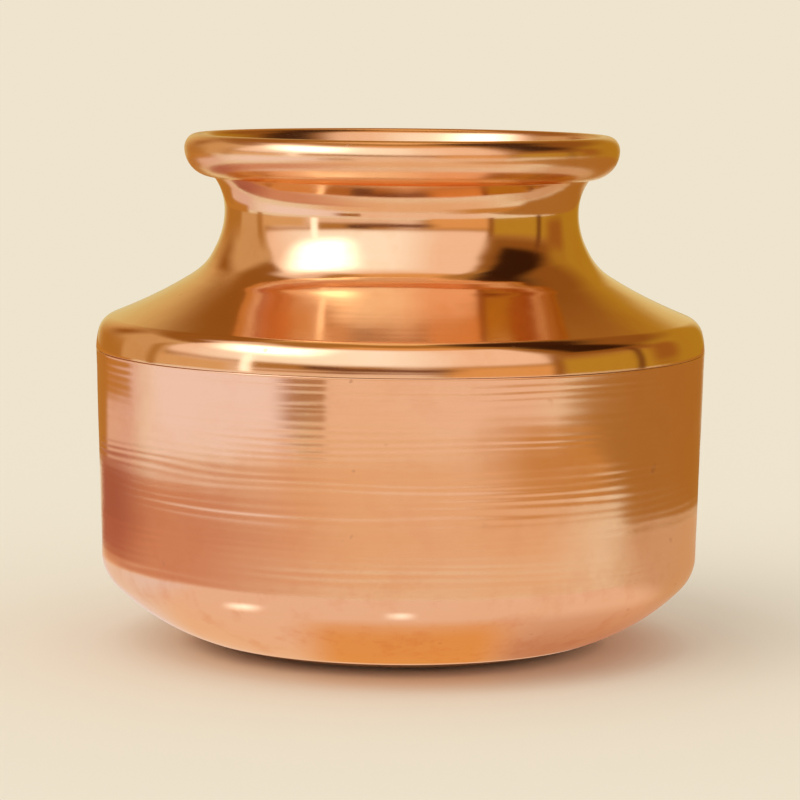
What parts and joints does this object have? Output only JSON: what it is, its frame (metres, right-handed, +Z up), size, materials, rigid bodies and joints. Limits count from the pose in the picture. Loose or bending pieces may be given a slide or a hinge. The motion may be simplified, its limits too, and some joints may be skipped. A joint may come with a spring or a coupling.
{
  "type": "cooking pot",
  "caption": "Round cooking pot of coppery brass with a rounded heel, straight wall, sloping shoulder, drawn-in neck and heavy rolled lip, tinned inside.",
  "frame": {"origin": "centre of the flat base, on the surface that the pot stands on", "axes": "+Z up along the pot's axis, out of the mouth; the pot is round about +Z"},
  "size_m": [0.2, 0.2, 0.1674],
  "materials": {
    "satin_brass": "satin, with fine turned rings",
    "polished_brass": "mirror polish",
    "brazing_brass": "as flowed",
    "drawn_wire": "as drawn",
    "wiped_tin": "hand-wiped tin, dull silver"
  },
  "bodies": {
    "root": {"lower_shell": "satin_brass", "upper_shell": "polished_brass", "seam_braze": "brazing_brass", "rim_wire": "drawn_wire", "tin_lining": "wiped_tin"}
  },
  "joints": []
}
